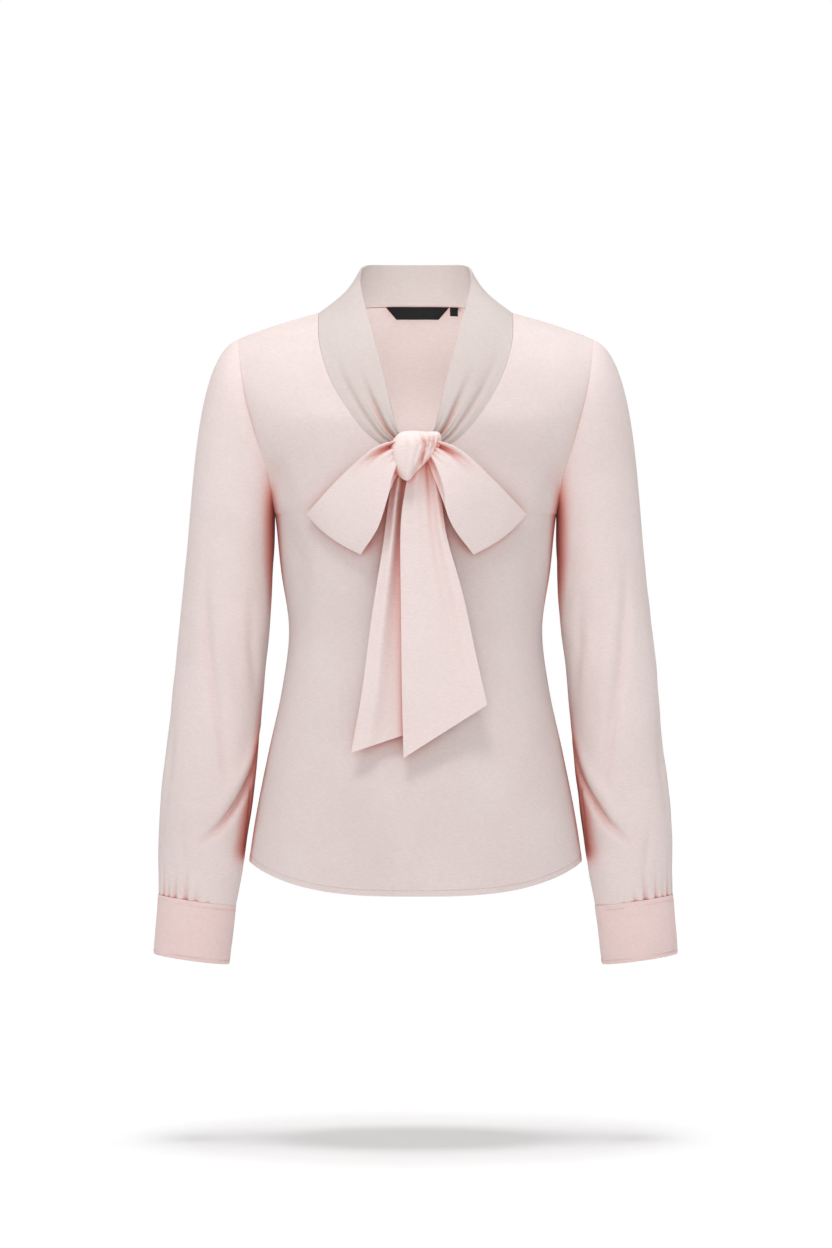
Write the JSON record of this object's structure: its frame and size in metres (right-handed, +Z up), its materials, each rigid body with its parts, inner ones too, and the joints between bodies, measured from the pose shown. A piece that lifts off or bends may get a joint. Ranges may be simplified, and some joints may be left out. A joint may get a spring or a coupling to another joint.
{
  "type": "blouse",
  "caption": "Long-sleeved tie-neck blouse in light crepe, filled out as worn, with a bow at a V neck, gathered cuffs and a curved shirt-tail hem.",
  "frame": {"origin": "midway between the two neck points of the shoulder seams, where the wearer carries the blouse", "axes": "+Z up, towards the collar; the front with the bow faces -Y; +X is at the right of someone who looks at the front"},
  "size_m": [0.5402, 0.2654, 0.724],
  "materials": {
    "body_crepe": "soft matt crepe, blush pink",
    "sleeve_crepe": "soft matt crepe, blush pink",
    "cuff_crepe": "soft matt crepe over an interlining, blush pink",
    "collar_crepe": "soft matt crepe, doubled, blush pink",
    "tie_crepe": "soft matt crepe, doubled, blush pink",
    "label_satin": "woven satin ribbon, black"
  },
  "bodies": {
    "root": {"front": "body_crepe", "back": "body_crepe", "sleeve_left": "sleeve_crepe", "sleeve_right": "sleeve_crepe", "cuff_left": "cuff_crepe", "cuff_right": "cuff_crepe", "collar": "collar_crepe", "knot": "tie_crepe", "loop_left": "tie_crepe", "loop_right": "tie_crepe", "tail_left": "tie_crepe", "tail_right": "tie_crepe", "label": "label_satin", "size_tab": "label_satin"}
  },
  "joints": []
}
